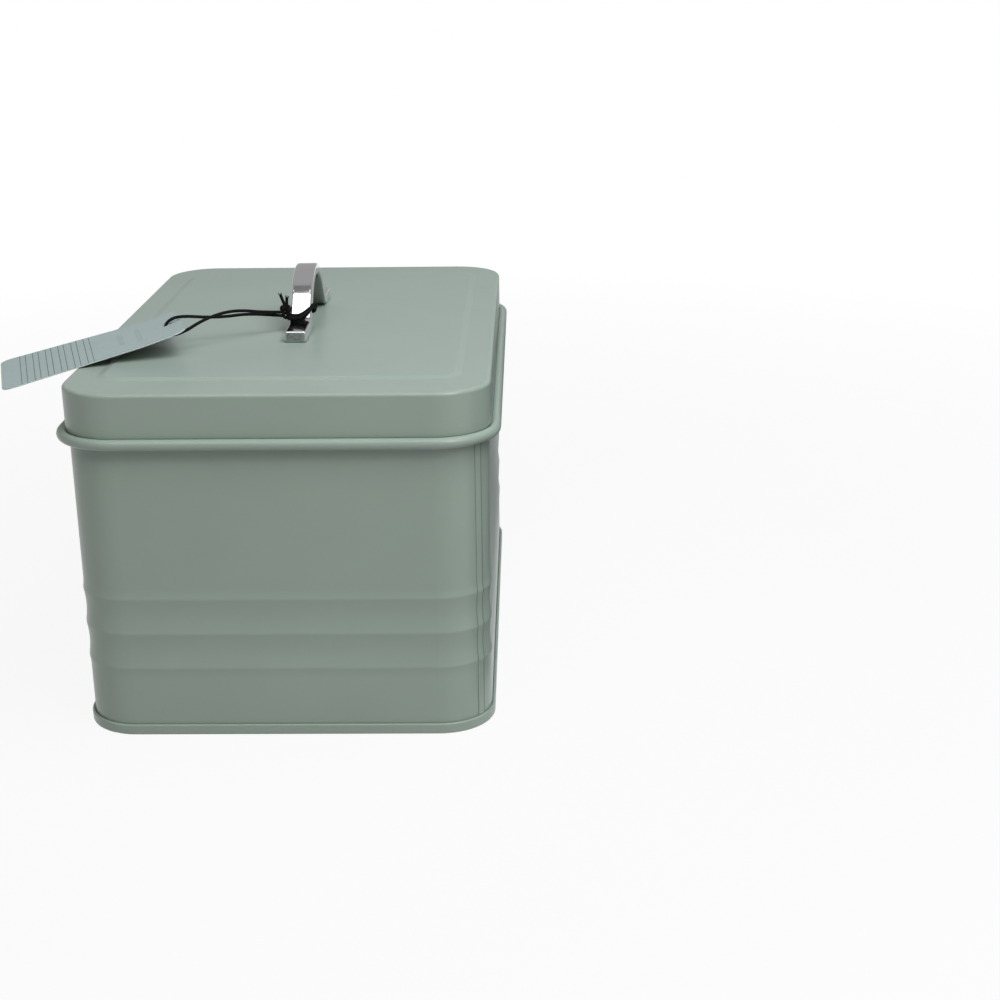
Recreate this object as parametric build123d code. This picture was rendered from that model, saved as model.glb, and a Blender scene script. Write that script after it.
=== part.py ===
from build123d import *
import os
from math import cos, degrees, radians, sin, sqrt, tan

# Lidded sheet-steel box for washing tablets: a ribbed body with a rolled rim, a seamed-on base,
# a lift-off lid with a bow handle, and a card swing tag tied to the handle with an elastic cord.
# Millimetres. X runs across the box, Y from front to back, Z up. The origin is on the floor,
# under the middle of the box, and the front faces -Y.

# Sheet steel
SHEET = 0.4                 # thickness of every sheet piece
FOLD_GAP = 0.05             # play between the folded layers of the base seam

# Body: plan, height and rolled rim
BODY_WIDTH = 174.0          # outside of the plain wall, across
BODY_DEPTH = 262.0          # outside of the plain wall, front to back
BODY_CORNER = 22.0          # upright corner radius of the plain wall
BODY_HEIGHT = 132.2         # floor to the top of the rolled rim
CURL_RADIUS = 2.3           # outside radius of the rolled rim
CURL_TURN = 300.0           # degrees from the flare to the hidden raw edge
FLARE_ANGLE = 30.0          # lean of the mouth under the rolled rim
FLARE_RADIUS = 2.0          # bend from the wall into the flare
FLARE_RUN = 2.0             # straight part of the flare

# Ribs pressed right round the body
RIB_COUNT = 3
RIB_FIRST = 30.5            # floor to the lowest crest
RIB_PITCH = 15.6            # crest to crest
RIB_CREST = 0.35            # crest over the plain wall
RIB_SLOPE = 8.0             # degrees of lean on the flanks
RIB_CREST_RADIUS = 3.0
RIB_VALLEY_RADIUS = 40.0
RIB_ROOT_RADIUS = 20.0

# Side seam, where the two ends of the body's strip lap at the front right corner
LAP_WIDTH = 3.8             # round the corner
LAP_TURN = 58.0             # degrees from the front wall round the corner to the lap's raw edge

# Base with its double seam
SEAM_HEIGHT = 4.7           # floor to the top of the seam
SEAM_BEND = 0.55            # middle radius of the seam's two lower bends
BASE_RECESS = 3.0           # floor to the underside of the base panel
BASE_BEND = 1.2             # middle radius from the base panel into the seam

# Lid
LID_PROUD = 1.3             # skirt over the plain wall of the body
LID_HEIGHT = 19.3           # underside of the foot to the top of the rim flange
LID_EDGE_BEND = 1.5         # middle radius of the top edge
FOOT_BEND = 0.95            # middle radius of the turned-in foot
NECK_BEND = 0.8             # middle radius from the foot into the plug
SEAT_GAP = 0.2              # foot to the rolled rim when closed
PLUG_CLEARANCE = 0.6        # plug to the inside of the body wall
PLUG_DEPTH = 9.0            # plug below the foot
HEM_BEND = 0.5              # middle radius of the safe edge on the plug
HEM_RUN = 2.0
FLANGE = 4.0                # flat flange that belongs to the skirt's own ring
PANEL_SIDE_INSET = 12.0     # skirt to the raised panel, left and right
PANEL_END_INSET = 21.0      # skirt to the raised panel, front and back
PANEL_CORNER = 10.0         # plan radius at the foot of the panel's step
PANEL_RAISE = 0.9
PANEL_SLOPE = 16.0          # degrees
PANEL_BEND = 1.6

# Bow handle, a cast bar of even thickness
HANDLE_SPAN = 82.0          # between the screw centres
HANDLE_FOOT = 16.0          # flat part of each foot
HANDLE_RISE = 26.0          # lid panel to the top of the bow
HANDLE_BAR = 5.1            # thickness of the bar
HANDLE_WIDTH = 9.7
HANDLE_LEAN = 50.0          # degrees of lean of the straight legs
HANDLE_BEND = 8.0           # middle radius from each foot into its leg
HANDLE_EDGE = 1.2           # rounded long edges
HANDLE_END_EDGE = 0.8       # rounded ends

# Screws that hold the handle from inside the lid
SCREW_RADIUS = 2.0
SCREW_BITE = 3.6            # depth of the blind hole in a foot
SCREW_PLAY = 0.05           # radial play in the tapped foot
SCREW_END_GAP = 0.4         # end of the screw to the end of its hole
LID_HOLE_PLAY = 0.3         # radial play in the lid
SCREW_HEAD_RADIUS = 3.8
SCREW_HEAD_HEIGHT = 2.4
SCREW_HEAD_EDGE = 0.9
RECESS_LENGTH = 4.2
RECESS_WIDTH = 0.9
RECESS_DEPTH = 1.3

# Card swing tag, laid across the left edge of the lid
TAG_LENGTH = 80.5
TAG_WIDTH = 55.0
TAG_CARD = 0.5
TAG_CORNER = 5.0
TAG_HOLE_RADIUS = 2.2
TAG_HOLE_INSET = 6.0        # cord end to the hole's centre
TAG_BOW_LENGTH = 26.0       # stretch at the cord end that curls up
TAG_BOW = 6.0               # degrees of that curl
TAG_YAW = 17.4              # long axis, from the box's X axis
TAG_SLOPE = 12.6            # fall towards the free end
TAG_ROLL = -2.0             # back edge lower than the front edge
TAG_OVER_EDGE = 40.0        # free end to the lid's edge, along the card's middle line
TAG_EDGE_LIFT = 1.3         # lid's edge to the card's middle line
TAG_ACROSS = -61.0          # place along the lid's edge

# Elastic cord: a loop from the knot over the card, down its hole and back under the card.
# The points are offsets from the middle of the lid panel's top.
CORD_DIAMETER = 1.4
CORD_ROUTE = [
    (-8.2, -25.2, 7.7),
    (-15.4, -29.2, 9.1),
    (-24.2, -34.0, 9.9),
    (-33.0, -38.8, 9.7),
    (-41.6, -43.2, 10.6),
    (-48.5, -46.9, 12.0),
    (-53.9, -49.7, 11.9),
    (-57.2, -51.3, 9.2),
    (-56.6, -53.3, 5.0),
    (-51.8, -56.9, 5.7),
    (-45.6, -60.6, 8.7),
    (-41.2, -56.9, 11.1),
    (-36.6, -52.4, 12.7),
    (-30.2, -46.2, 13.7),
    (-23.6, -40.2, 12.9),
    (-16.4, -33.8, 11.0),
    (-8.8, -25.4, 9.6),
]
CORD_BEND_SHARE = 0.45      # share of the shorter run that each bend takes up
WRAP_UP_LEG = 4.4           # lower bend to the wrap, along the near leg
WRAP_GAP = 0.2              # wrap to the bar
WRAP_TURNS = 2
KNOT_RADIUS = 2.9
KNOT_LENGTH = 5.8
KNOT_EDGE = 2.0             # rounded ends of the knot
KNOT_OFFSET = 0.3           # inside of the wrap to the near end of the knot
KNOT_TAILS = [(-1.6, -0.4, 8.2), (1.4, 0.2, 6.8)]


class BentBar:
    """Section of an even bar or sheet that follows straight runs and round bends of its middle line."""

    def __init__(self, start, heading, thickness):
        self.point = Vector(*start)
        self.heading = heading
        self.half = thickness / 2
        self.edges = []
        self.left_start = self.beside(1)
        self.right_start = self.beside(-1)

    def direction(self):
        return Vector(cos(radians(self.heading)), sin(radians(self.heading)))

    def beside(self, side):
        """Point half a thickness to the left (1) or right (-1) of the middle line."""
        ahead = self.direction()
        return self.point + Vector(-ahead.Y, ahead.X) * (side * self.half)

    def run(self, length):
        before = [self.beside(side) for side in (1, -1)]
        self.point = self.point + self.direction() * length
        for side, start in zip((1, -1), before):
            self.edges.append(Line(start, self.beside(side)))
        return self

    def bend(self, turn, radius):
        """Turn by an angle, positive to the left, on a middle radius."""
        ahead = self.direction()
        centre = self.point + Vector(-ahead.Y, ahead.X) * (radius if turn > 0 else -radius)
        spots = []
        arm = self.point - centre
        for share in (0, 0.5, 1):
            self.point = centre + arm.rotate(Axis.Z, turn * share)
            self.heading += turn / 2 if share else 0
            spots.append([self.beside(side) for side in (1, -1)])
        for side in (0, 1):
            self.edges.append(ThreePointArc(*[spot[side] for spot in spots]))
        return self

    def face(self):
        ends = [Line(self.left_start, self.right_start), Line(self.beside(1), self.beside(-1))]
        return make_face(self.edges + ends)


def ring(section, width, depth, corner):
    """Take a section, drawn as outward offset and height, round a rounded rectangle."""
    upright = Plane.XZ * section
    pieces = []
    for quarter in range(4):
        across, along = (width, depth) if quarter % 2 == 0 else (depth, width)
        straight = along - 2 * corner
        side = extrude(Pos(across / 2, straight / 2, 0) * upright, straight)
        turn = revolve(Pos(corner, 0, 0) * upright, Axis.Z, 90)
        turn = Pos(across / 2 - corner, straight / 2, 0) * turn
        pieces += [Rot(0, 0, 90 * quarter) * side, Rot(0, 0, 90 * quarter) * turn]
    return pieces[0] + pieces[1:]


def plate(width, depth, corner, floor, thickness):
    return Pos(0, 0, floor) * extrude(RectangleRounded(width, depth, corner), thickness)


# Offsets of the folded layers from the plain wall's outside, to the middle of each layer.
LAYER = SHEET + FOLD_GAP
WALL_MID = -SHEET / 2
CHUCK_MID = WALL_MID - LAYER
COVER_HOOK_MID = WALL_MID + LAYER
BODY_HOOK_MID = COVER_HOOK_MID + LAYER
SEAM_WALL_MID = BODY_HOOK_MID + LAYER
BODY_FOLD_Z = SHEET + FOLD_GAP + SHEET / 2 + LAYER
COVER_FOLD_Z = SEAM_HEIGHT - SHEET / 2 - LAYER
HOOK_RUN = COVER_FOLD_Z - BODY_FOLD_Z - FOLD_GAP

# Rolled rim: middle radius, and the centre of the curl as offset and height.
CURL_MID = CURL_RADIUS - SHEET / 2
LEAN = radians(FLARE_ANGLE)
CURL_Z = BODY_HEIGHT - CURL_RADIUS
CURL_N = WALL_MID + FLARE_RADIUS * (1 - cos(LEAN)) + FLARE_RUN * sin(LEAN) + CURL_MID * cos(LEAN)
FLARE_Z = CURL_Z - FLARE_RADIUS * sin(LEAN) - FLARE_RUN * cos(LEAN) + CURL_MID * sin(LEAN)

# Lid: the turned-in foot sits over the inner shoulder of the curl, and the rest stands on that.
SKIRT_MID = LID_PROUD - SHEET / 2
PLUG_MID = -SHEET - PLUG_CLEARANCE - SHEET / 2
FOOT_N = SKIRT_MID - FOOT_BEND
FOOT_OUTER = FOOT_BEND + SHEET / 2
FOOT_Z = CURL_Z + sqrt((CURL_RADIUS + FOOT_OUTER + SEAT_GAP) ** 2 - (CURL_N - FOOT_N) ** 2)
FOOT_UNDER = FOOT_Z - FOOT_OUTER
LID_TOP = FOOT_UNDER + LID_HEIGHT
PANEL_TOP = LID_TOP + PANEL_RAISE
LID_WIDTH = BODY_WIDTH + 2 * LID_PROUD
LID_DEPTH = BODY_DEPTH + 2 * LID_PROUD
PANEL_WIDTH = LID_WIDTH - 2 * PANEL_SIDE_INSET
PANEL_DEPTH = LID_DEPTH - 2 * PANEL_END_INSET
STEP_LEAN = radians(PANEL_SLOPE)
STEP_RUN = (PANEL_RAISE - 2 * PANEL_BEND * (1 - cos(STEP_LEAN))) / sin(STEP_LEAN)
STEP_WIDTH = 2 * PANEL_BEND * sin(STEP_LEAN) + STEP_RUN * cos(STEP_LEAN)

# Handle: the bow's radius and the straight legs follow from the space between the feet and the rise.
HANDLE_HALF = HANDLE_SPAN / 2 + HANDLE_FOOT / 2
BOW_HALF = HANDLE_HALF - HANDLE_FOOT
BOW_HEIGHT = HANDLE_RISE - HANDLE_BAR
LEG_LEAN = radians(HANDLE_LEAN)
LEG_DROP = 1 - cos(LEG_LEAN)
BOW_RADIUS = (BOW_HALF * sin(LEG_LEAN) - BOW_HEIGHT * cos(LEG_LEAN)) / LEG_DROP - HANDLE_BEND
LEG_RUN = (BOW_HEIGHT * sin(LEG_LEAN) - BOW_HALF * LEG_DROP) / LEG_DROP


def climb_ribs(bar, foot, out=0.0):
    """Take a bar that heads up from a foot height over the ribs, at an offset from the wall's middle."""
    lean = radians(RIB_SLOPE)
    rise = 1 - cos(lean)
    root_run = (RIB_CREST - (RIB_ROOT_RADIUS + RIB_CREST_RADIUS) * rise) / sin(lean)
    flank = (RIB_PITCH / 2 - (RIB_CREST_RADIUS + RIB_VALLEY_RADIUS) * sin(lean)) / cos(lean)
    root_height = (RIB_ROOT_RADIUS + RIB_CREST_RADIUS) * sin(lean) + root_run * cos(lean)
    last_crest = RIB_FIRST + (RIB_COUNT - 1) * RIB_PITCH

    bar.run(RIB_FIRST - root_height - foot)
    bar.bend(-RIB_SLOPE, RIB_ROOT_RADIUS - out).run(root_run)
    for crest in range(RIB_COUNT):
        if crest:
            bar.run(flank).bend(-2 * RIB_SLOPE, RIB_VALLEY_RADIUS - out).run(flank)
        bar.bend(2 * RIB_SLOPE, RIB_CREST_RADIUS + out)
    bar.run(root_run).bend(-RIB_SLOPE, RIB_ROOT_RADIUS - out)
    return bar.run(FLARE_Z - last_crest - root_height)


def body_section():
    """Wall from the hook in the base seam up over the ribs to the rolled rim."""
    bar = BentBar((BODY_HOOK_MID, BODY_FOLD_Z + HOOK_RUN), -90, SHEET)
    bar.run(HOOK_RUN).bend(-180, LAYER)
    climb_ribs(bar, BODY_FOLD_Z)
    bar.bend(-FLARE_ANGLE, FLARE_RADIUS).run(FLARE_RUN)
    return bar.bend(-CURL_TURN, CURL_MID).face()


def side_lap():
    """Outer layer of the lapped side seam, from the base seam up to the flare."""
    foot = SEAM_HEIGHT + FOLD_GAP
    bar = BentBar((WALL_MID + SHEET, foot), 90, SHEET)
    layer = climb_ribs(bar, foot, SHEET).face()
    span = degrees(LAP_WIDTH / BODY_CORNER)
    strip = revolve(Plane.XZ * Pos(BODY_CORNER, 0) * layer, Axis.Z, span)
    strip = Rot(0, 0, LAP_TURN - span - 90) * strip
    return Pos(BODY_WIDTH / 2 - BODY_CORNER, BODY_CORNER - BODY_DEPTH / 2, 0) * strip


def make_body():
    return ring(body_section(), BODY_WIDTH, BODY_DEPTH, BODY_CORNER) + side_lap()


def make_base():
    """Recessed panel whose edge is folded round the foot of the body wall."""
    panel_edge = CHUCK_MID - BASE_BEND
    panel_mid = BASE_RECESS + SHEET / 2
    bar = BentBar((panel_edge, panel_mid), 0, SHEET)
    bar.bend(-90, BASE_BEND).run(panel_mid - BASE_BEND - SHEET / 2 - SEAM_BEND)
    bar.bend(90, SEAM_BEND).run(SEAM_WALL_MID - CHUCK_MID - 2 * SEAM_BEND)
    bar.bend(90, SEAM_BEND).run(COVER_FOLD_Z - SHEET / 2 - SEAM_BEND)
    bar.bend(180, LAYER).run(HOOK_RUN)
    seam = ring(bar.face(), BODY_WIDTH, BODY_DEPTH, BODY_CORNER)
    grow = 2 * panel_edge
    panel = plate(BODY_WIDTH + grow, BODY_DEPTH + grow, BODY_CORNER + panel_edge, BASE_RECESS, SHEET)
    return seam + panel


def make_lid():
    """Skirt with a turned-in foot and plug, a rim flange and a raised centre panel."""
    hem_mid = PLUG_MID - 2 * HEM_BEND
    hem_z = FOOT_UNDER - PLUG_DEPTH + HEM_BEND + SHEET / 2
    ledge_mid = FOOT_UNDER + SHEET / 2
    flange_mid = LID_TOP - SHEET / 2
    bar = BentBar((hem_mid, hem_z + HEM_RUN), -90, SHEET)
    bar.run(HEM_RUN).bend(180, HEM_BEND).run(ledge_mid - NECK_BEND - hem_z)
    bar.bend(-90, NECK_BEND).run(SKIRT_MID - PLUG_MID - NECK_BEND - FOOT_BEND)
    bar.bend(90, FOOT_BEND).run(flange_mid - LID_EDGE_BEND - ledge_mid - FOOT_BEND)
    bar.bend(90, LID_EDGE_BEND).run(FLANGE)
    skirt = ring(bar.face(), BODY_WIDTH, BODY_DEPTH, BODY_CORNER)

    flange_edge = SKIRT_MID - LID_EDGE_BEND - FLANGE
    grow = 2 * flange_edge
    flange_floor = LID_TOP - SHEET
    outline = (BODY_WIDTH + grow, BODY_DEPTH + grow, BODY_CORNER + flange_edge)
    flange = plate(*outline, flange_floor, SHEET)
    flange -= plate(PANEL_WIDTH, PANEL_DEPTH, PANEL_CORNER, flange_floor, SHEET)

    step = BentBar((0, flange_mid), 180, SHEET)
    step.bend(-PANEL_SLOPE, PANEL_BEND).run(STEP_RUN).bend(PANEL_SLOPE, PANEL_BEND)
    panel_step = ring(step.face(), PANEL_WIDTH, PANEL_DEPTH, PANEL_CORNER)
    shrink = 2 * STEP_WIDTH
    top = (PANEL_WIDTH - shrink, PANEL_DEPTH - shrink, PANEL_CORNER - STEP_WIDTH)
    panel = plate(*top, PANEL_TOP - SHEET, SHEET)
    lid = skirt + flange + panel_step + panel
    hole = Cylinder(SCREW_RADIUS + LID_HOLE_PLAY, 2 * SHEET)
    return lid - [Pos(0, end * HANDLE_SPAN / 2, PANEL_TOP - SHEET / 2) * hole for end in (-1, 1)]


def make_handle():
    """Bow handle: a bar bent up from two feet, with rounded edges and a blind screw hole in each foot."""
    bar = BentBar((-HANDLE_HALF, HANDLE_BAR / 2), 0, HANDLE_BAR)
    bar.run(HANDLE_FOOT).bend(HANDLE_LEAN, HANDLE_BEND).run(LEG_RUN)
    bar.bend(-2 * HANDLE_LEAN, BOW_RADIUS)
    bar.run(LEG_RUN).bend(HANDLE_LEAN, HANDLE_BEND).run(HANDLE_FOOT)
    handle = extrude(Plane.YZ * bar.face(), HANDLE_WIDTH / 2, both=True)

    def at_end(edge):
        return abs(abs(edge.center().Y) - HANDLE_HALF) < HANDLE_EDGE / 2

    def on_lid(edge):
        return edge.bounding_box().max.Z < HANDLE_EDGE / 2

    def long_edge(edge):
        box = edge.bounding_box()
        return box.size.Y > HANDLE_EDGE and not on_lid(edge)

    handle = fillet(handle.edges().filter_by(long_edge), HANDLE_EDGE)
    ends = [edge for edge in handle.edges() if at_end(edge) and not on_lid(edge)]
    handle = fillet(ends, HANDLE_END_EDGE)
    bore = extrude(Circle(SCREW_RADIUS + SCREW_PLAY), SCREW_BITE)
    handle -= [Pos(0, end * HANDLE_SPAN / 2, 0) * bore for end in (-1, 1)]
    return Pos(0, 0, PANEL_TOP) * handle


def make_screw():
    """Pan-head screw, its seat at the origin and its shank upwards."""
    shank = extrude(Circle(SCREW_RADIUS), SHEET + SCREW_BITE - SCREW_END_GAP)
    head = extrude(Circle(SCREW_HEAD_RADIUS), -SCREW_HEAD_HEIGHT)
    head = fillet(head.edges().sort_by(Axis.Z)[0], SCREW_HEAD_EDGE)
    slot = Box(RECESS_LENGTH, RECESS_WIDTH, 2 * RECESS_DEPTH)
    cross = slot + Rot(0, 0, 90) * slot
    return shank + head - Pos(0, 0, -SCREW_HEAD_HEIGHT) * cross


def make_screws():
    screw = make_screw()
    return [Pos(0, end * HANDLE_SPAN / 2, PANEL_TOP - SHEET) * screw for end in (-1, 1)]


def tag_frame():
    """Plane of the card: X towards the cord end, Y towards the back of the box, origin at the free end."""
    yaw = radians(TAG_YAW)
    slope = radians(TAG_SLOPE)
    ahead = Vector(cos(yaw) * cos(slope), sin(yaw) * cos(slope), sin(slope))
    level = Vector(-sin(yaw), cos(yaw), 0)
    normal = ahead.cross(level).rotate(Axis((0, 0, 0), tuple(ahead)), TAG_ROLL)
    over_edge = Vector(-LID_WIDTH / 2, TAG_ACROSS, LID_TOP + TAG_EDGE_LIFT)
    return Plane(origin=over_edge - ahead * TAG_OVER_EDGE, x_dir=ahead, z_dir=normal)


def make_tag():
    """Flat card with rounded corners, a cord hole and a slight curl at the cord end."""
    bow_radius = TAG_BOW_LENGTH / radians(TAG_BOW)
    bar = BentBar((0, 0), 0, TAG_CARD)
    bar.run(TAG_LENGTH - TAG_BOW_LENGTH).bend(TAG_BOW, bow_radius)
    reach = bar.point.X
    card = extrude(Plane.XZ * bar.face(), TAG_WIDTH / 2, both=True)
    outline = Pos(reach / 2, 0) * RectangleRounded(reach, TAG_WIDTH, TAG_CORNER)
    outline -= Pos(reach - TAG_HOLE_INSET, 0) * Circle(TAG_HOLE_RADIUS)
    card = card & extrude(outline, TAG_LENGTH, both=True)
    return tag_frame() * card


def bend_radii(points):
    """Largest bend at each inner point that leaves room for its neighbours."""
    radii = []
    for before, here, after in zip(points, points[1:], points[2:]):
        arrive = here - before
        leave = after - here
        half_turn = radians(arrive.get_angle(leave)) / 2
        radii.append(CORD_BEND_SHARE * min(arrive.length, leave.length) / tan(half_turn))
    return radii


def wrap_frame():
    """Plane across the near leg of the handle: X to the right, Z along the bar."""
    up_leg = Vector(0, cos(LEG_LEAN), sin(LEG_LEAN))
    leg_start = Vector(0, HANDLE_BEND * sin(LEG_LEAN) - BOW_HALF, HANDLE_BAR / 2 + HANDLE_BEND * LEG_DROP)
    origin = leg_start + up_leg * WRAP_UP_LEG + Vector(0, 0, PANEL_TOP)
    return Plane(origin=origin, x_dir=(1, 0, 0), z_dir=up_leg)


def make_knot():
    """Turns round the near leg, the knot at their left and its two cut tails, as one outer shape."""
    inner_width = HANDLE_WIDTH + 2 * WRAP_GAP
    inner_height = HANDLE_BAR + 2 * WRAP_GAP
    grow = 2 * CORD_DIAMETER
    turns = RectangleRounded(inner_width + grow, inner_height + grow, HANDLE_EDGE + CORD_DIAMETER)
    turns -= RectangleRounded(inner_width, inner_height, HANDLE_EDGE)
    wrap = extrude(turns, WRAP_TURNS * CORD_DIAMETER / 2, both=True)
    middle = Pos(-inner_width / 2 - KNOT_OFFSET - KNOT_LENGTH / 2, 0, 0)
    barrel = Cylinder(KNOT_RADIUS, KNOT_LENGTH)
    barrel = fillet(barrel.edges().filter_by(GeomType.CIRCLE), KNOT_EDGE)
    knot = wrap_frame() * (wrap + middle * Rot(0, 90, 0) * barrel)
    centre = (wrap_frame() * middle).position
    for tail in KNOT_TAILS:
        lean = Vector(*tail)
        tail_plane = Plane(origin=centre, z_dir=lean)
        knot += extrude(tail_plane * Circle(CORD_DIAMETER / 2), lean.length)
    return knot


def make_cord(knot):
    """Tube along the route, cut off where it enters the knot."""
    points = [Vector(x, y, z + PANEL_TOP) for x, y, z in CORD_ROUTE]
    radii = bend_radii(points)
    path = FilletPolyline(*points, radius=radii)
    section = Plane(origin=path @ 0, z_dir=path % 0) * Circle(CORD_DIAMETER / 2)
    tube = sweep(section, path=path)
    print("cord bend radii", [round(radius, 1) for radius in radii])
    print("cord length", round(path.length, 1), "volume", round(tube.volume, 1))
    return tube - knot


def main():
    os.makedirs("parts", exist_ok=True)
    knot = make_knot()
    pieces = {
        "body_shell": make_body(),
        "base_plate": make_base(),
        "lid": make_lid(),
        "handle": make_handle(),
        "handle_screws": Compound(children=make_screws()),
        "swing_tag": make_tag(),
        "tag_cord": make_cord(knot),
        "cord_knot": knot,
    }
    for node, piece in pieces.items():
        export_step(piece, f"parts/{node}.step")


main()
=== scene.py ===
from math import cos, pi, radians, sin

import bmesh
import bpy
from mathutils import Matrix, Vector


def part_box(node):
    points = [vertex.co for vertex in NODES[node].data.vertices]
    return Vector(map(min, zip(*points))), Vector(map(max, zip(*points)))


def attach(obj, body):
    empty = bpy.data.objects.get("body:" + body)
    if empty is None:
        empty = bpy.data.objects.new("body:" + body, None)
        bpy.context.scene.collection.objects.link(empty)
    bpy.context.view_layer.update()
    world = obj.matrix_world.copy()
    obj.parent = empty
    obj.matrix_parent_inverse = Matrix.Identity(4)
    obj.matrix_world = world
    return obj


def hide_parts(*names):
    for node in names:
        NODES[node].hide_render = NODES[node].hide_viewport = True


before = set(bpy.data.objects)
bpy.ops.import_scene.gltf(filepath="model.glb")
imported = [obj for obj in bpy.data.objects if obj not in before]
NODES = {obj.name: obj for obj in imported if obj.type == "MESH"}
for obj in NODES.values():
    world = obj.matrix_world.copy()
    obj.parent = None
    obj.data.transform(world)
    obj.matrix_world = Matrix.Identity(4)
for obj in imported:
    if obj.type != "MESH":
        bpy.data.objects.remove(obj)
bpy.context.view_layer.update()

# Looks of a sage-green washing tablet box: powder-coated sheet steel, a chrome bow handle
# and a striped card tag on an elastic cord. Metres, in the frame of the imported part:
# X across the box, Y from front to back, Z up.

MM = 0.001
SCENE = bpy.context.scene
SCENE.view_settings.view_transform = "Standard"

# Camera, as fitted to the photograph's straight edges
CAMERA_PLACE = Vector((103.34, -773.84, 324.49)) * MM
CAMERA_YAW = radians(-1.0351)        # to the right
CAMERA_PITCH = radians(18.8583)      # downwards
CAMERA_ROLL = radians(0.6517)
CAMERA_LENS = 60.141                 # in the sensor's own measure
CAMERA_SENSOR = 36.0

# Lid and handle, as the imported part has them
PANEL_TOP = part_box("lid")[1].z
LID_HALF_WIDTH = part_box("lid")[1].x
FLANGE_DROP = 0.9 * MM               # from the raised panel down to the flange round it
FLANGE_TOP = PANEL_TOP - FLANGE_DROP
HANDLE_HALF_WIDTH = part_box("handle")[1].x
HANDLE_BAR = 5.1 * MM
FIELD_HALF_WIDTH = 3.6 * MM          # pitted field on each end of the handle
FIELD_HALF_HEIGHT = 1.5 * MM
LEG_LEAN = radians(50)

# Lapped side seam on the round of the body's front right corner
CORNER_PLACE = Vector((65, -109, 0)) * MM
CORNER_RADIUS = 22 * MM
LAP_TURN = radians(58)               # from the front wall to the lap's raw edge
LAP_TOP = 127 * MM
LAP_SHADE_WIDTH = 0.85 * MM

# Elastic cord
CORD_DIAMETER = 0.0014
CORD_LENGTH = 0.1255
CORD_ORDER = 3                       # of the smooth line along its control points
CORD_STEPS_ROUND = 5
CORD_STEPS_LONG = 12
PLAIT_LENGTH = 1.3 * MM
PLAITS_ROUND = 4
CORD_ROUTE = [                       # offsets from the middle of the lid panel's top
    (-0.0079, -0.0252, 0.0070),
    (-0.0154, -0.0292, 0.0085),
    (-0.0242, -0.0340, 0.0099),
    (-0.0330, -0.0388, 0.0097),
    (-0.0416, -0.0432, 0.0106),
    (-0.0485, -0.0469, 0.0120),
    (-0.0539, -0.0497, 0.0119),
    (-0.0572, -0.0513, 0.0092),
    (-0.0566, -0.0533, 0.0050),
    (-0.0518, -0.0569, 0.0057),
    (-0.0456, -0.0606, 0.0087),
    (-0.0412, -0.0569, 0.0111),
    (-0.0366, -0.0524, 0.0127),
    (-0.0302, -0.0462, 0.0137),
    (-0.0236, -0.0402, 0.0129),
    (-0.0164, -0.0338, 0.0106),
    (-0.0084, -0.0256, 0.0088),
]

# Turns and knot on the near leg of the handle
WRAP_PLACE = Vector((0, -24.04 * MM, PANEL_TOP + 8.78 * MM))
WRAP_GAP = 0.15 * MM
WRAP_TURNS = 2
WRAP_POINTS = 16                     # control points in a turn
WRAP_SQUARENESS = 0.45               # 1 is an ellipse, 0 a sharp-cornered box
WRAP_RISE = 0.42                     # climb from the left side to the right side, per metre across
WRAP_SHIFT = 0.25                    # of all turns up the leg, in cord diameters
WRAP_SAG = 4.0 * MM                  # dip of the turns in the middle of the leg's outer face
WRAP_DROP = 0.5 * MM                 # middle of the turns below the wrap's place
WRAP_SLACK = 0.6 * MM                # the turns stand off the bar's right side
KNOT_PLACE = Vector((-7.1, -25.6, 9.3)) * MM
KNOT_SCALE = Vector((0.74, 0.85, 1.10)) * MM
KNOT_POINTS = 18
KNOT_PLAITS = 26
TAILS = [                            # millimetres from the knot's middle, up to each cut end
    [(-0.2, 0.2, 0.6), (-0.5, 0.3, 3.2), (-1.3, 0.1, 5.4), (-1.9, -0.2, 7.4)],
    [(0.3, 0.4, 0.6), (0.7, 0.6, 2.8), (0.6, 0.6, 4.4), (0.9, 0.2, 6.0)],
]
FIBRES = 7                           # loose fibres at each cut end
FIBRE_LENGTH = 1.5 * MM              # of the longest
FIBRE_DIAMETER = 0.22 * MM
FIBRE_RING = 0.3                     # fibres' roots off the cord's middle, in cord diameters
FIBRE_SHORTEST = 0.6                 # share of the longest fibre
FIBRE_STAGGER = 3                    # step from one fibre's length to the next one's
FIBRE_BEND_AT = 0.6                  # shares of a fibre's length: its bend, and how far it splays
FIBRE_BEND_OUT = 0.12
FIBRE_END_OUT = 0.45

# Card swing tag
TAG_LENGTH = 80.5 * MM
TAG_WIDTH = 55 * MM
TAG_CARD = 0.5 * MM
TAG_CORNER = 5 * MM
TAG_HOLE_RADIUS = 2.2 * MM
TAG_HOLE_INSET = 6 * MM
TAG_CURL_LENGTH = 26 * MM            # stretch at the cord end that curls up
TAG_CURL = radians(6)
TAG_YAW = radians(17.4)
TAG_SLOPE = radians(12.6)
TAG_ROLL_FREE = radians(-0.6)        # twist from the free end to the cord end
TAG_ROLL_CORD = radians(-3.4)
TAG_OVER_EDGE = 39.85 * MM           # from the free end to the lid's edge, along the card
TAG_EDGE_LIFT = 1.3 * MM
TAG_ACROSS = -61 * MM
TAG_ARC_STEPS = 8
TAG_CUTS_LONG = 34
TAG_CUTS_WIDE = 6
TAG_MERGE = 0.001 * MM
SIDE_FACING = 0.5                    # least upright share of the normal on the card's two sides
PRINTED_SIDE, PLAIN_SIDE, CUT_EDGE = range(3)
STRIPE_PAIRS = 6
STRIPE_START = 0.105                 # shares of the card's length
STRIPE_PITCH = 0.0715
STRIPE_PARTNER = 0.46                # second line of a pair, as a share of the pitch
STRIPE_WIDTH = 0.055                 # as a share of the pitch
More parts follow.
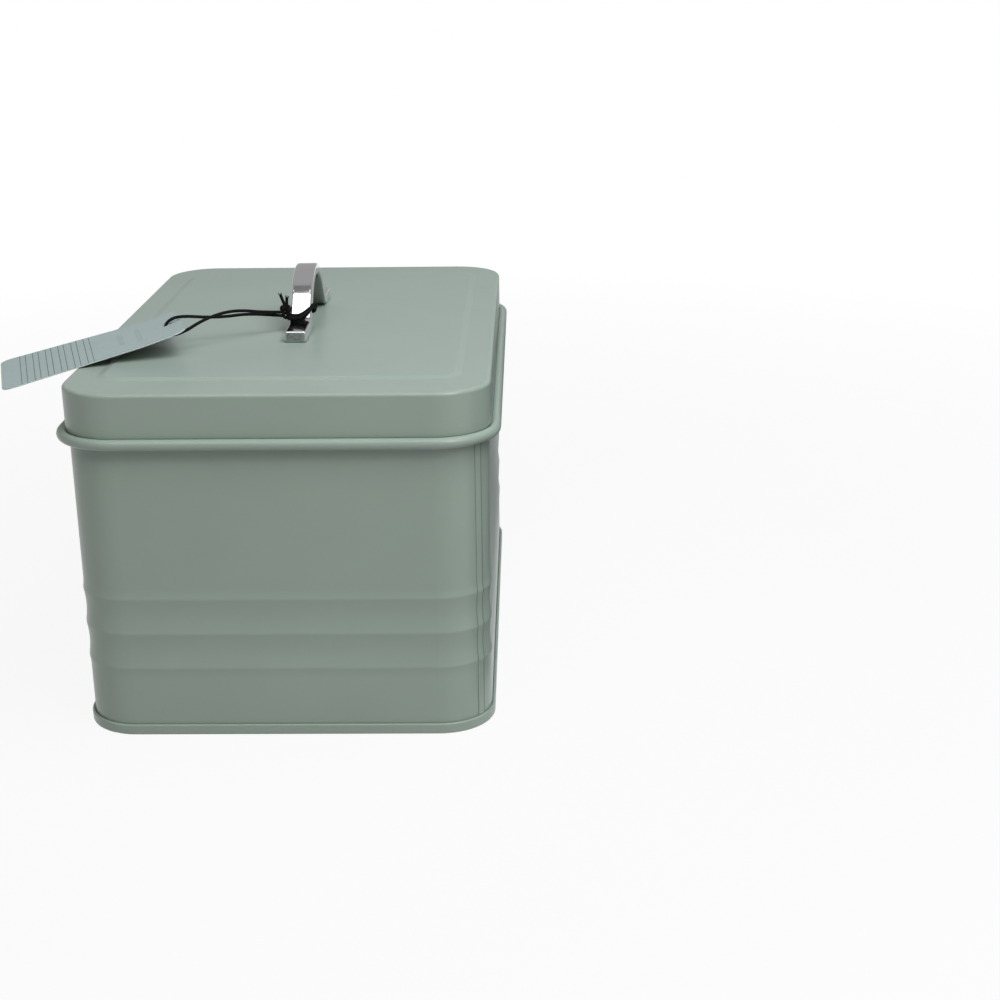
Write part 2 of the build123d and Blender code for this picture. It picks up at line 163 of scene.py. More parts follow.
ROWS = (                             # faint dashes: place along the card, start and end across it
    (0.66, 0.30, 0.72),
    (0.76, 0.24, 0.76),
)
ROW_HALF_WIDTH = 0.016
ROW_DASHES = 16                      # across the card's width
ROW_DASH = 0.62                      # share of a dash in its space
ROW_FAINTNESS = 0.22

# Colours, linear
SAGE = (0.292, 0.360, 0.300, 1)
SAGE_DEEP = (0.280, 0.346, 0.288, 1)
# painted shade along the raw edge of the lapped side seam
SAGE_SHADE = (0.110, 0.140, 0.116, 1)
CHROME = (0.79, 0.79, 0.785, 1)
# painted shade on the handle's downward-facing inner side
UNDERSIDE_SHADE_GREY = (0.30, 0.30, 0.30, 1)
PIT_GREY = (0.06, 0.06, 0.06, 1)
ZINC = (0.62, 0.62, 0.60, 1)
ZINC_DULL = (0.47, 0.47, 0.45, 1)
CARD = (0.356, 0.430, 0.407, 1)
CARD_FIBRE = (0.327, 0.397, 0.374, 1)
CARD_CORE = (0.72, 0.74, 0.72, 1)
CARD_INK = (0.075, 0.095, 0.095, 1)
ELASTIC = (0.003, 0.003, 0.003, 1)
ELASTIC_WORN = (0.012, 0.012, 0.013, 1)
FLOOR_WHITE = (0.56, 0.56, 0.56, 1)
BACKDROP_WHITE = (1, 1, 1, 1)
FLAG_DARK = (0.03, 0.03, 0.03, 1)
STUDIO_DARK = (0.20, 0.20, 0.21, 1)
STUDIO_GREY = (0.38, 0.38, 0.39, 1)
STUDIO_HORIZON = (0.46, 0.46, 0.47, 1)
LAMP_COOL = (0.97, 1.0, 1.15)
LAMP_PLAIN = (1.0, 1.0, 1.0)

# Ranges, low end first unless the value falls
RISING = (0, 1)
FALLING = (1, 0)
NOISE_WIDE = (0.25, 0.75)            # stretches of a noise's values
NOISE_USUAL = (0.3, 0.7)
NOISE_NARROW = (0.35, 0.65)
NOISE_LOW = (0.35, 0.55)
NOISE_HIGH = (0.35, 0.75)

# Skin of every finish: detail and roughness of its three noises
SKIN_NOISES = {
    "Relief": (2.0, 0.45),
    "Mottle": (3.0, 0.55),
    "Smudge": (4.0, 0.62),
}

# Finishes: the scales of the three noises, the range of roughness, and the relief's strength and depth
PAINT_SKIN = (1400, 24, 11)
PAINT_ROUGHNESS = (0.285, 0.34)
PAINT_SPECULAR = 0.46
PAINT_RELIEF = (0.08, 0.05 * MM)
CHROME_SKIN = (260, 2600, 60)
CHROME_ROUGHNESS = (0.05, 0.16)
CHROME_RELIEF = (0.10, 0.02 * MM)
CAST_DULLNESS = 0.16                 # roughness added on the inner side and the ends
UNDERSIDE_FACING = (-0.45, -0.10)        # upward share of the normal, on the downward-facing inner side and off it, where the plating is rougher and darkened by painted shade
END_FACING = (0.93, 0.99)            # lengthwise share of the normal, off the ends and on them
PIT_SHARES = (0.25, 0.85)
PIT_DEPTH = 1.5                      # in heights of the plating's waves
ZINC_SKIN = (2600, 700, 300)
ZINC_ROUGHNESS = (0.26, 0.44)
ZINC_RELIEF = (0.2, 0.05 * MM)
CARD_SKIN = (3800, 600, 90)
CARD_ROUGHNESS = (0.62, 0.78)
CARD_RELIEF = (0.15, 0.04 * MM)
INK_WEAR = (0.75, 1)
CORE_SKIN = (3800, 1500, 90)
CORE_ROUGHNESS = 0.85
CORE_RELIEF = (0.3, 0.05 * MM)
ELASTIC_SKIN = (6000, 900, 300)
ELASTIC_ROUGHNESS = (0.62, 0.82)
ELASTIC_SPECULAR = 0.12
ELASTIC_RELIEF = (0.6, 0.12 * MM)
ELASTIC_WEAR = (0.3, 1)
ELASTIC_FUZZ = 0.3                   # height of the fine fibres beside that of the plaits
PLAIT_CROWN = (-0.4, 1.0)
STAGE_ROUGHNESS = 0.9

# Studio: floor, soft light and the dark card
FLOOR_HALF = 6.0
FLOOR_NEAR = 0.3                     # from the middle, up to which the glow is weakest
FLOOR_FAR = 0.9                      # from which it covers the floor's own shading
FLOOR_GLOW = 1.0
FLOOR_GLOW_NEAR = 0.91               # share of the glow beside the object
SOFT_LIGHT = 0.15
SOFT_FLAG = 0.35                     # share of the soft light that comes from the right
SOFT_FLAG_EDGE = (0.2, 0.6)          # rightward share of the direction
CEILING_EDGE = (-0.06, 0.0)          # backward share, from the dark ceiling to the grey one
HORIZON_EDGE = (0.08, 0.20)          # upward share, from the horizon to the ceiling
BACKDROP_GLOW = 1.0
FLAG_PLACE = Vector((0.114, 0.03, 0.076))
FLAG_HALF_LENGTH = 0.165
FLAG_HALF_HEIGHT = 0.075
LAMPS = {                            # place, aim, width and height, power, colour, seen in gloss
    "key_softbox": ((0.10, -0.70, 1.25), (0.10, 0, PANEL_TOP), (1.5, 0.62), 8.4, LAMP_PLAIN, True),
    "top_softbox": ((0.40, -0.10, 1.00), (0, 0, PANEL_TOP), (0.6, 0.6), 5.6, LAMP_COOL, False),
    "front_softbox": ((0.45, -0.58, 0.66), (0, 0, PANEL_TOP), (0.35, 0.35), 2.2, LAMP_PLAIN, True),
}

# Sockets of Blender's nodes that share a name and go by number
MIX_COLOURS = (6, 7)
MIX_COLOUR_OUT = 2
MIX_SHADERS = (1, 2)


def set_sockets(node, values):
    for name, value in values.items():
        node.inputs[name.replace("_", " ")].default_value = value


def add(tree, kind, **sockets):
    """New node with its unlinked inputs set by name."""
    node = tree.nodes.new(kind)
    set_sockets(node, sockets)
    return node


def join(tree, source, target):
    tree.links.new(source, target)


def feed(tree, value, socket):
    """Puts a socket's output, or else a plain value, into an input."""
    if isinstance(value, bpy.types.NodeSocket):
        join(tree, value, socket)
    else:
        socket.default_value = value


def maths(tree, operation, *values):
    """Maths node whose inputs are sockets or numbers; returns its output."""
    node = tree.nodes.new("ShaderNodeMath")
    node.operation = operation
    for socket, value in zip(node.inputs, values):
        feed(tree, value, socket)
    return node.outputs["Value"]


def product(tree, first, *others):
    for other in others:
        first = maths(tree, "MULTIPLY", first, other)
    return first


def distance_from(tree, value, place):
    return maths(tree, "ABSOLUTE", maths(tree, "SUBTRACT", value, place))


def between(tree, value, low, high):
    """1 where a value lies between two others."""
    above = maths(tree, "GREATER_THAN", value, low)
    below = maths(tree, "LESS_THAN", value, high)
    return product(tree, above, below)


def spread(tree, value, onto, across):
    """Value taken from the range across onto another, held at its ends."""
    node = add(tree, "ShaderNodeMapRange", From_Min=across[0], From_Max=across[1],
               To_Min=onto[0], To_Max=onto[1])
    join(tree, value, node.inputs["Value"])
    return node.outputs["Result"]


def axes(tree, vector):
    """The X, Y and Z of a vector."""
    node = tree.nodes.new("ShaderNodeSeparateXYZ")
    join(tree, vector, node.inputs["Vector"])
    return node.outputs


def coordinates(tree):
    return tree.nodes.new("ShaderNodeTexCoord").outputs


def blend_colours(tree, share, first, second):
    node = tree.nodes.new("ShaderNodeMix")
    node.data_type = "RGBA"
    join(tree, share, node.inputs["Factor"])
    for place, colour in zip(MIX_COLOURS, (first, second)):
        feed(tree, colour, node.inputs[place])
    return node.outputs[MIX_COLOUR_OUT]


def blend_shaders(tree, share, first, second):
    node = tree.nodes.new("ShaderNodeMixShader")
    join(tree, share, node.inputs["Fac"])
    for place, shader in zip(MIX_SHADERS, (first, second)):
        join(tree, shader, node.inputs[place])
    return node.outputs["Shader"]


def finish_skin_group():
    """Fine relief, slow mottling and handling smudges, for paint, plating, card and elastic alike."""
    group = bpy.data.node_groups.new("finish_skin", "ShaderNodeTree")
    group.interface.new_socket("Place", in_out="INPUT", socket_type="NodeSocketVector")
    for name in SKIN_NOISES:
        group.interface.new_socket(name + " Scale", in_out="INPUT", socket_type="NodeSocketFloat")
        group.interface.new_socket(name, in_out="OUTPUT", socket_type="NodeSocketFloat")
    come = group.nodes.new("NodeGroupInput")
    go = group.nodes.new("NodeGroupOutput")
    for name, (detail, roughness) in SKIN_NOISES.items():
        noise = add(group, "ShaderNodeTexNoise", Detail=detail, Roughness=roughness)
        noise.label = name
        join(group, come.outputs["Place"], noise.inputs["Vector"])
        join(group, come.outputs[name + " Scale"], noise.inputs["Scale"])
        join(group, noise.outputs["Fac"], go.inputs[name])
    return group


FINISH_SKIN = finish_skin_group()


def skin(tree, place, scales):
    """The skin at a place, with its noises at these scales; returns its outputs."""
    node = tree.nodes.new("ShaderNodeGroup")
    node.node_tree = FINISH_SKIN
    join(tree, place, node.inputs["Place"])
    for name, scale in zip(SKIN_NOISES, scales):
        node.inputs[name + " Scale"].default_value = scale
    return node.outputs


def new_material(name, **sockets):
    """Principled material with its plain inputs set by name; returns it, its tree and the shader."""
    material = bpy.data.materials.new(name)
    material.use_nodes = True
    tree = material.node_tree
    shader = tree.nodes["Principled BSDF"]
    set_sockets(shader, sockets)
    return material, tree, shader


def mottled(tree, surface, stretch, first, second):
    """Colour that drifts between two tints with the skin's mottling."""
    return blend_colours(tree, spread(tree, surface["Mottle"], RISING, stretch), first, second)


def smudge_gloss(tree, shader, surface, roughness):
    smudged = spread(tree, surface["Smudge"], roughness, NOISE_USUAL)
    join(tree, smudged, shader.inputs["Roughness"])


def raise_relief(tree, shader, height, strength, depth):
    bump = add(tree, "ShaderNodeBump", Strength=strength, Distance=depth)
    join(tree, height, bump.inputs["Height"])
    join(tree, bump.outputs["Normal"], shader.inputs["Normal"])


def lap_shade(tree, place):
    """1 along the raw edge of the lapped side seam, where a thin line of painted shade darkens the coat.
    """
    at = axes(tree, place)
    right = maths(tree, "SUBTRACT", at["X"], CORNER_PLACE.x)
    ahead = maths(tree, "SUBTRACT", CORNER_PLACE.y, at["Y"])
    turn = maths(tree, "ARCTAN2", right, ahead)
    beside = product(tree, distance_from(tree, turn, LAP_TURN), CORNER_RADIUS)
    line = spread(tree, beside, FALLING, (0, LAP_SHADE_WIDTH))
    return product(tree, line, maths(tree, "LESS_THAN", at["Z"], LAP_TOP))


def sage_paint(name, lapped=False):
    """Satin powder coat: orange peel, a faint drift of colour and smudged gloss."""
    material, tree, shader = new_material(name, Specular_IOR_Level=PAINT_SPECULAR)
    place = coordinates(tree)["Object"]
    coat = skin(tree, place, PAINT_SKIN)
    tint = mottled(tree, coat, NOISE_USUAL, SAGE_DEEP, SAGE)
    # painted shade: a thin dark line along the lap's raw edge
    if lapped:
        tint = blend_colours(tree, lap_shade(tree, place), tint, SAGE_SHADE)
    join(tree, tint, shader.inputs["Base Color"])
    smudge_gloss(tree, shader, coat, PAINT_ROUGHNESS)
    raise_relief(tree, shader, coat["Relief"], *PAINT_RELIEF)
    return material


def handle_chrome():
    """Bright plating over a casting: waves, smudges, a rougher inner side darkened by painted shade where
    it faces down, and pitted fields on the ends.
    """
    material, tree, shader = new_material("handle_chrome", Metallic=1.0)
    where = coordinates(tree)
    plate = skin(tree, where["Object"], CHROME_SKIN)
    facing = axes(tree, where["Normal"])
    at = axes(tree, where["Object"])
    underside_dull_and_shade = spread(tree, facing["Z"], FALLING, UNDERSIDE_FACING)
    end_face = spread(tree, maths(tree, "ABSOLUTE", facing["Y"]), RISING, END_FACING)
    beside = maths(tree, "ABSOLUTE", at["X"])
    across = spread(tree, beside, FALLING, (FIELD_HALF_WIDTH, HANDLE_HALF_WIDTH))
    above = distance_from(tree, at["Z"], PANEL_TOP + HANDLE_BAR / 2)
    upright = spread(tree, above, FALLING, (FIELD_HALF_HEIGHT, HANDLE_BAR / 2))
    pits = spread(tree, plate["Mottle"], PIT_SHARES, NOISE_NARROW)
    pitted = product(tree, end_face, across, upright, pits)
    # painted shade: the plating turns grey where it faces down, under the bow
    colour = blend_colours(tree, underside_dull_and_shade, CHROME, UNDERSIDE_SHADE_GREY)
    join(tree, blend_colours(tree, pitted, colour, PIT_GREY), shader.inputs["Base Color"])
    smudge = spread(tree, plate["Smudge"], CHROME_ROUGHNESS, NOISE_HIGH)
    dull = product(tree, maths(tree, "MAXIMUM", underside_dull_and_shade, end_face), CAST_DULLNESS)
    join(tree, maths(tree, "ADD", smudge, dull), shader.inputs["Roughness"])
    height = maths(tree, "SUBTRACT", plate["Relief"], product(tree, pitted, PIT_DEPTH))
    raise_relief(tree, shader, height, *CHROME_RELIEF)
    return material


def screw_zinc():
    """Plain zinc plate, a little blotched."""
    material, tree, shader = new_material("screw_zinc", Metallic=1.0)
    plate = skin(tree, coordinates(tree)["Object"], ZINC_SKIN)
    join(tree, mottled(tree, plate, NOISE_NARROW, ZINC_DULL, ZINC), shader.inputs["Base Color"])
    smudge_gloss(tree, shader, plate, ZINC_ROUGHNESS)
    raise_relief(tree, shader, plate["Relief"], *ZINC_RELIEF)
    return material


def dashed_row(tree, sheet, place, start, end):
    """Faint row of plain dashes across the card."""
    row = maths(tree, "LESS_THAN", distance_from(tree, sheet["X"], place), ROW_HALF_WIDTH)
    space = maths(tree, "FRACT", product(tree, sheet["Y"], ROW_DASHES))
    dash = maths(tree, "LESS_THAN", space, ROW_DASH)
    return product(tree, row, dash, between(tree, sheet["Y"], start, end), ROW_FAINTNESS)


def card_print(tree, sheet):
    """1 on the pairs of thin rules across the card, and fainter on the rows of dashes."""
    pair = maths(tree, "DIVIDE", maths(tree, "SUBTRACT", sheet["X"], STRIPE_START), STRIPE_PITCH)
    step = maths(tree, "FRACT", pair)
    first = maths(tree, "LESS_THAN", step, STRIPE_WIDTH)
    second = maths(tree, "LESS_THAN", distance_from(tree, step, STRIPE_PARTNER), STRIPE_WIDTH / 2)
    ink = product(tree, maths(tree, "ADD", first, second), between(tree, pair, 0, STRIPE_PAIRS))
    for row in ROWS:
        ink = maths(tree, "MAXIMUM", ink, dashed_row(tree, sheet, *row))
    return ink


def card_stock(name, printed):
    """Matt card with a fibrous surface, printed on one side."""
    material, tree, shader = new_material(name)
    where = coordinates(tree)
    paper = skin(tree, where["Object"], CARD_SKIN)
    colour = mottled(tree, paper, NOISE_USUAL, CARD_FIBRE, CARD)
    if printed:
        worn = spread(tree, paper["Relief"], INK_WEAR, NOISE_LOW)
        ink = product(tree, card_print(tree, axes(tree, where["UV"])), worn)
        colour = blend_colours(tree, ink, colour, CARD_INK)
    join(tree, colour, shader.inputs["Base Color"])
    smudge_gloss(tree, shader, paper, CARD_ROUGHNESS)
    raise_relief(tree, shader, paper["Relief"], *CARD_RELIEF)
    return material


def card_core():
    """Pale raw edge of the cut card."""
    material, tree, shader = new_material("tag_card_edge", Roughness=CORE_ROUGHNESS)
    paper = skin(tree, coordinates(tree)["Object"], CORE_SKIN)
    join(tree, mottled(tree, paper, NOISE_WIDE, CARD, CARD_CORE), shader.inputs["Base Color"])
    raise_relief(tree, shader, paper["Relief"], *CORE_RELIEF)
    return material


def elastic(name, plaits):
    """Braided elastic: two sets of plaits that cross as they wind along the cord."""
    material, tree, shader = new_material(name, Specular_IOR_Level=ELASTIC_SPECULAR)
    where = coordinates(tree)
    cord = axes(tree, where["UV"])
    along = product(tree, cord["X"], 2 * pi * plaits)
    around = product(tree, cord["Y"], 2 * pi * PLAITS_ROUND)
    right = maths(tree, "SINE", maths(tree, "ADD", along, around))
    left = maths(tree, "SINE", maths(tree, "SUBTRACT", along, around))
    crown = spread(tree, maths(tree, "MAXIMUM", right, left), RISING, PLAIT_CROWN)
    fibre = skin(tree, where["Object"], ELASTIC_SKIN)
    worn = product(tree, crown, spread(tree, fibre["Mottle"], ELASTIC_WEAR, NOISE_USUAL))
    join(tree, blend_colours(tree, worn, ELASTIC, ELASTIC_WORN), shader.inputs["Base Color"])
    smudge_gloss(tree, shader, fibre, ELASTIC_ROUGHNESS)
    height = maths(tree, "ADD", crown, product(tree, fibre["Relief"], ELASTIC_FUZZ))
    raise_relief(tree, shader, height, *ELASTIC_RELIEF)
    return material


def new_object(name, data, materials=()):
    item = bpy.data.objects.new(name, data)
    SCENE.collection.objects.link(item)
    for material in materials:
        data.materials.append(material)
    return item


def mesh_object(name, shape, materials):
    mesh = bpy.data.meshes.new(name)
    shape.to_mesh(mesh)
    shape.free()
    return new_object(name, mesh, materials)


def dress_cad_nodes():
    """Procedural finishes on the pieces whose solids already have the right shape."""
    finishes = {
        "body_shell": sage_paint("painted_body", lapped=True),
        "base_plate": sage_paint("painted_base"),
        "lid": sage_paint("painted_lid"),
        "handle": handle_chrome(),
        "handle_screws": screw_zinc(),
    }
    for node, material in finishes.items():
        NODES[node].data.materials.clear()
        NODES[node].data.materials.append(material)


def cord_curve(name, strands, material, diameter=CORD_DIAMETER, cyclic=False):
    """Round cord along one smooth line for each list of control points."""
    curve = bpy.data.curves.new(name, "CURVE")
    curve.dimensions = "3D"
    curve.bevel_depth = diameter / 2
    curve.bevel_resolution = CORD_STEPS_ROUND
    curve.resolution_u = CORD_STEPS_LONG
    curve.use_fill_caps = True
    for points in strands:
        line = curve.splines.new("NURBS")
        line.points.add(len(points) - 1)
        for spot, point in zip(line.points, points):
            spot.co = (*point, 1)
        line.use_cyclic_u = cyclic
        line.order_u = CORD_ORDER
        line.use_endpoint_u = not cyclic
    return new_object(name, curve, [material])


def plaits_in(length):
    return round(length / PLAIT_LENGTH)


def on_panel(offset):
    return Vector(offset) + Vector((0, 0, PANEL_TOP))


def tag_cord():
    """Free loop from the knot through the tag and back; returns it and where it leaves the knot."""
    points = [on_panel(offset) for offset in CORD_ROUTE]
    loop = cord_curve("elastic_loop", [points], elastic("cord_elastic", plaits_in(CORD_LENGTH)))
    return loop, points[0]


def squared(value):
    """Sine or cosine pushed outwards, so that a round becomes a box with soft corners."""
    sign = 1 if value > 0 else -1
    return sign * abs(value) ** WRAP_SQUARENESS


def wrap_turns():
    """Two turns round the near leg, which climb to the right and stand off it there."""
    up_leg = Vector((0, cos(LEG_LEAN), sin(LEG_LEAN)))
    off_leg = Vector((0, -sin(LEG_LEAN), cos(LEG_LEAN)))
    half_wide = HANDLE_HALF_WIDTH + WRAP_GAP + CORD_DIAMETER / 2
    half_deep = HANDLE_BAR / 2 + WRAP_GAP + CORD_DIAMETER / 2
    points = []
    for step in range(WRAP_TURNS * WRAP_POINTS + 1):
        turn = step / WRAP_POINTS
        angle = pi - 2 * pi * turn
        across = half_wide * squared(cos(angle))
        if cos(angle) > 0:
            across += WRAP_SLACK * cos(angle) * (1 + turn) / 2
        out = half_deep * squared(sin(angle))
        climb = (turn - WRAP_TURNS / 2 + WRAP_SHIFT) * CORD_DIAMETER + across * WRAP_RISE - WRAP_DROP
        if sin(angle) > 0:
            climb -= WRAP_SAG * (1 - abs(cos(angle)) ** (2 * WRAP_SQUARENESS))
        points.append(WRAP_PLACE + Vector((across, 0, 0)) + off_leg * out + up_leg * climb)
    plaits = plaits_in(WRAP_TURNS * 4 * (half_wide + half_deep))
    return cord_curve("cord_turns", [points], elastic("cord_elastic_turns", plaits))


def tied_knot():
    """Overhand knot pulled tight, beside the leg."""
    middle = on_panel(KNOT_PLACE)
    points = []
    for step in range(KNOT_POINTS):
        t = 2 * pi * step / KNOT_POINTS
        loop = Vector((sin(t) + 2 * sin(2 * t), -sin(3 * t), cos(t) - 2 * cos(2 * t)))
        points.append(middle + loop * KNOT_SCALE)
    material = elastic("cord_elastic_knot", KNOT_PLAITS)
    return cord_curve("cord_knot_tied", [points], material, cyclic=True)


def knot_tails():
    """The two cut ends that stand up from the knot, with their loose fibres."""
    middle = on_panel(KNOT_PLACE)
    strands = [[middle + Vector(point) * MM for point in tail] for tail in TAILS]
    longest = max(sum((b - a).length for a, b in zip(tail, tail[1:])) for tail in strands)
    tails = cord_curve("cord_tails", strands, elastic("cord_elastic_tails", plaits_in(longest)))
    fibres = []
    for strand in strands:
        tip = strand[-1]
        ahead = (tip - strand[-2]).normalized()
        beside = ahead.orthogonal().normalized()
        for fibre in range(FIBRES):
            splay = Matrix.Rotation(2 * pi * fibre / FIBRES, 3, ahead) @ beside
            root = tip - ahead * FIBRE_DIAMETER + splay * CORD_DIAMETER * FIBRE_RING
            stagger = (fibre * FIBRE_STAGGER) % FIBRES / FIBRES
            reach = FIBRE_LENGTH * (FIBRE_SHORTEST + (1 - FIBRE_SHORTEST) * stagger)
            bend = root + ahead * reach * FIBRE_BEND_AT + splay * reach * FIBRE_BEND_OUT
            end = root + ahead * reach + splay * reach * FIBRE_END_OUT
            fibres.append([root, bend, end])
    material = elastic("cord_elastic_fibres", plaits_in(FIBRE_LENGTH))
    return tails, cord_curve("cord_tail_fibres", fibres, material, FIBRE_DIAMETER)


def tag_place(point):
    """Flat card to its place: curl at the cord end, twist along the card, lean on the lid's edge."""
    flat_end = TAG_LENGTH - TAG_CURL_LENGTH
    curl_radius = TAG_CURL_LENGTH / TAG_CURL
    turn = max(0.0, point.x - flat_end) / curl_radius
    along = min(point.x, flat_end) + (curl_radius - point.z) * sin(turn)
    lift = curl_radius - (curl_radius - point.z) * cos(turn)
    roll = TAG_ROLL_FREE + (TAG_ROLL_CORD - TAG_ROLL_FREE) * point.x / TAG_LENGTH
    side = point.y * cos(roll) - lift * sin(roll)
    high = point.y * sin(roll) + lift * cos(roll)
    ahead = Vector((cos(TAG_YAW) * cos(TAG_SLOPE), sin(TAG_YAW) * cos(TAG_SLOPE), sin(TAG_SLOPE)))
    level = Vector((-sin(TAG_YAW), cos(TAG_YAW), 0))
    over_edge = Vector((-LID_HALF_WIDTH, TAG_ACROSS, FLANGE_TOP + TAG_EDGE_LIFT))
    return over_edge + ahead * (along - TAG_OVER_EDGE) + level * side + ahead.cross(level) * high


def cut_across(card, axis, start, length, count):
    """Cuts a flat card into strips of one width."""
    for cut in range(1, count):
        geometry = card.verts[:] + card.edges[:] + card.faces[:]
        place = axis * (start + length * cut / count)
        bmesh.ops.bisect_plane(card, geom=geometry, plane_co=place, plane_no=axis)


def card_side(face):
    """Which of the card's materials a face has, by the way it faces while the card is flat."""
    if face.normal.z > SIDE_FACING:
        return PRINTED_SIDE
    if face.normal.z < -SIDE_FACING:
        return PLAIN_SIDE
    return CUT_EDGE


def swing_tag():
    """Card with rounded corners and a punched hole, cut fine enough to curl and twist."""
    card = bmesh.new()
    half = TAG_WIDTH / 2
    outline = [(0, -half), (TAG_LENGTH, -half), (TAG_LENGTH, half), (0, half)]
    card.faces.new([card.verts.new((x, y, -TAG_CARD / 2)) for x, y in outline])
    bmesh.ops.bevel(card, geom=card.verts[:], offset=TAG_CORNER, offset_type="OFFSET", affect="VERTICES",
                    segments=TAG_ARC_STEPS, profile=0.5, material=-1)
    bmesh.ops.delete(card, geom=card.faces[:], context="FACES_ONLY")
    hole_at = Matrix.Translation((TAG_LENGTH - TAG_HOLE_INSET, 0, -TAG_CARD / 2))
    bmesh.ops.create_circle(card, segments=len(card.verts), radius=TAG_HOLE_RADIUS, matrix=hole_at)
    bmesh.ops.bridge_loops(card, edges=card.edges[:])
    cut_across(card, Vector((1, 0, 0)), 0, TAG_LENGTH, TAG_CUTS_LONG)
    cut_across(card, Vector((0, 1, 0)), -half, TAG_WIDTH, TAG_CUTS_WIDE)
    upper = bmesh.ops.extrude_face_region(card, geom=card.faces[:])
    raised = [item for item in upper["geom"] if isinstance(item, bmesh.types.BMVert)]
    bmesh.ops.translate(card, verts=raised, vec=(0, 0, TAG_CARD))
    bmesh.ops.remove_doubles(card, verts=card.verts[:], dist=TAG_MERGE)
    bmesh.ops.recalc_face_normals(card, faces=card.faces[:])
    sheet_place = card.loops.layers.uv.new("card_place")
    for face in card.faces:
        face.material_index = card_side(face)
        for corner in face.loops:
            flat = corner.vert.co
            corner[sheet_place].uv = (flat.x / TAG_LENGTH, (flat.y + half) / TAG_WIDTH)
    for vert in card.verts:
        vert.co = tag_place(vert.co)
    materials = [card_stock("tag_card", True), card_stock("tag_card_back", False), card_core()]
    return mesh_object("card_tag", card, materials)


def soft_goods():
    """Cord, knot and tag in place of their plain solids; all ride with the lid."""
    loop, leaves_knot = tag_cord()
    turns = wrap_turns()
    knot = tied_knot()
    tails, fibres = knot_tails()
    tag = swing_tag()
    for piece, slot in ((loop, "cord_elastic"), (turns, "cord_elastic"), (knot, "cord_elastic"),
                        (tails, "cord_elastic"), (fibres, "cord_elastic"), (tag, "tag_card")):
        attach(piece, "lid")
    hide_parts("tag_cord")
    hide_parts("cord_knot")
    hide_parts("swing_tag")


def camera():
    level_ahead = Vector((sin(CAMERA_YAW), cos(CAMERA_YAW), 0))
    ahead = level_ahead * cos(CAMERA_PITCH) - Vector((0, 0, sin(CAMERA_PITCH)))
    level = Vector((cos(CAMERA_YAW), -sin(CAMERA_YAW), 0))
    below = ahead.cross(level)
    right = level * cos(CAMERA_ROLL) + below * sin(CAMERA_ROLL)
    down = below * cos(CAMERA_ROLL) - level * sin(CAMERA_ROLL)
    lens = bpy.data.cameras.new("camera")
    lens.lens = CAMERA_LENS
    lens.sensor_width = CAMERA_SENSOR
    item = new_object("camera", lens)
    turned = Matrix((right, -down, -ahead)).transposed().to_4x4()
    item.matrix_world = Matrix.Translation(CAMERA_PLACE) @ turned
    SCENE.camera = item


def softbox(name, place, aim, size, power, colour, mirrored):
    """Rectangular lamp; one that isn't mirrored lights the object but doesn't show in its gloss."""
    lamp = bpy.data.lights.new(name, "AREA")
    lamp.shape = "RECTANGLE"
    lamp.size, lamp.size_y = size
    lamp.energy = power
    lamp.color = colour
    item = new_object(name, lamp)
    item.location = place
    item.rotation_euler = (Vector(aim) - Vector(place)).to_track_quat("-Z", "Y").to_euler()
    item.visible_camera = False
    item.visible_glossy = mirrored


def looked_at(tree, path):
    """1 where the background is seen, straight on or in metal and glass; 0 where it lights the object."""
    seen = maths(tree, "MAXIMUM", path["Is Camera Ray"], path["Is Glossy Ray"])
    return maths(tree, "MAXIMUM", seen, path["Is Transmission Ray"])


def studio_floor():
    """White floor that keeps a soft shadow round the object."""
    ground = bmesh.new()
    bmesh.ops.create_grid(ground, x_segments=1, y_segments=1, size=FLOOR_HALF)
    material, tree, shader = new_material("floor_white", Base_Color=FLOOR_WHITE,
                                          Roughness=STAGE_ROUGHNESS)
    glow = add(tree, "ShaderNodeEmission", Color=BACKDROP_WHITE, Strength=FLOOR_GLOW)
    away = tree.nodes.new("ShaderNodeVectorMath")
    away.operation = "LENGTH"
    join(tree, coordinates(tree)["Object"], away.inputs[0])
    cover = spread(tree, away.outputs["Value"], (FLOOR_GLOW_NEAR, 1), (FLOOR_NEAR, FLOOR_FAR))
    path = tree.nodes.new("ShaderNodeLightPath").outputs
    share = product(tree, looked_at(tree, path), cover)
    surface = blend_shaders(tree, share, shader.outputs["BSDF"], glow.outputs["Emission"])
    join(tree, surface, tree.nodes["Material Output"].inputs["Surface"])
    mesh_object("studio_floor", ground, [material])


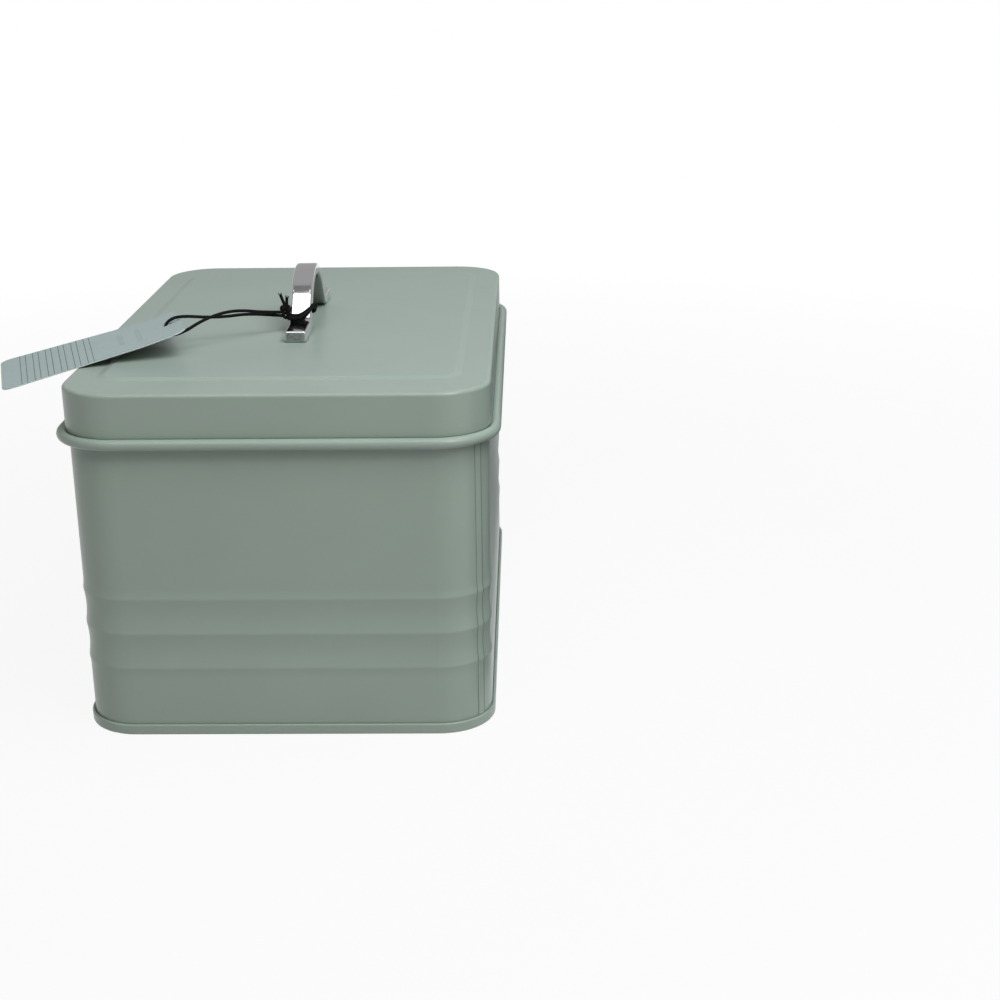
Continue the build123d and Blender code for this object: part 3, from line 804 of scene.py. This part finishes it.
def studio_flag():
    """Dark card seen in the gloss alone, which keeps the white floor out of the box's right edge."""
    card = bmesh.new()
    size = Matrix.Diagonal((FLAG_HALF_HEIGHT, FLAG_HALF_LENGTH, 1, 1))
    upright = Matrix.Translation(FLAG_PLACE) @ Matrix.Rotation(-pi / 2, 4, "Y") @ size
    bmesh.ops.create_grid(card, x_segments=1, y_segments=1, size=1, matrix=upright)
    material = new_material("flag_dark", Base_Color=FLAG_DARK, Roughness=STAGE_ROUGHNESS)[0]
    flag = mesh_object("studio_flag", card, [material])
    flag.visible_camera = False
    flag.visible_diffuse = False
    flag.visible_shadow = False


def studio_world():
    """Soft light, flagged on the right; looked at, a white backdrop, and a grey room in the gloss."""
    world = bpy.data.worlds.new("studio")
    SCENE.world = world
    world.use_nodes = True
    tree = world.node_tree
    tree.nodes.clear()
    towards = axes(tree, coordinates(tree)["Generated"])
    soft = add(tree, "ShaderNodeBackground", Color=BACKDROP_WHITE)
    flagged = spread(tree, towards["X"], (SOFT_LIGHT, SOFT_LIGHT * SOFT_FLAG), SOFT_FLAG_EDGE)
    join(tree, flagged, soft.inputs["Strength"])
    backdrop = add(tree, "ShaderNodeBackground", Strength=BACKDROP_GLOW)
    back = spread(tree, towards["Y"], RISING, CEILING_EDGE)
    ceiling = blend_colours(tree, back, STUDIO_DARK, STUDIO_GREY)
    above = spread(tree, towards["Z"], RISING, HORIZON_EDGE)
    room = blend_colours(tree, above, STUDIO_HORIZON, ceiling)
    path = tree.nodes.new("ShaderNodeLightPath").outputs
    view = blend_colours(tree, path["Is Camera Ray"], room, BACKDROP_WHITE)
    join(tree, view, backdrop.inputs["Color"])
    seen = looked_at(tree, path)
    light = blend_shaders(tree, seen, soft.outputs["Background"], backdrop.outputs["Background"])
    join(tree, light, tree.nodes.new("ShaderNodeOutputWorld").inputs["Surface"])


camera()
soft_goods()
dress_cad_nodes()
studio_floor()
studio_flag()
studio_world()
for lamp_name, lamp_values in LAMPS.items():
    softbox(lamp_name, *lamp_values)
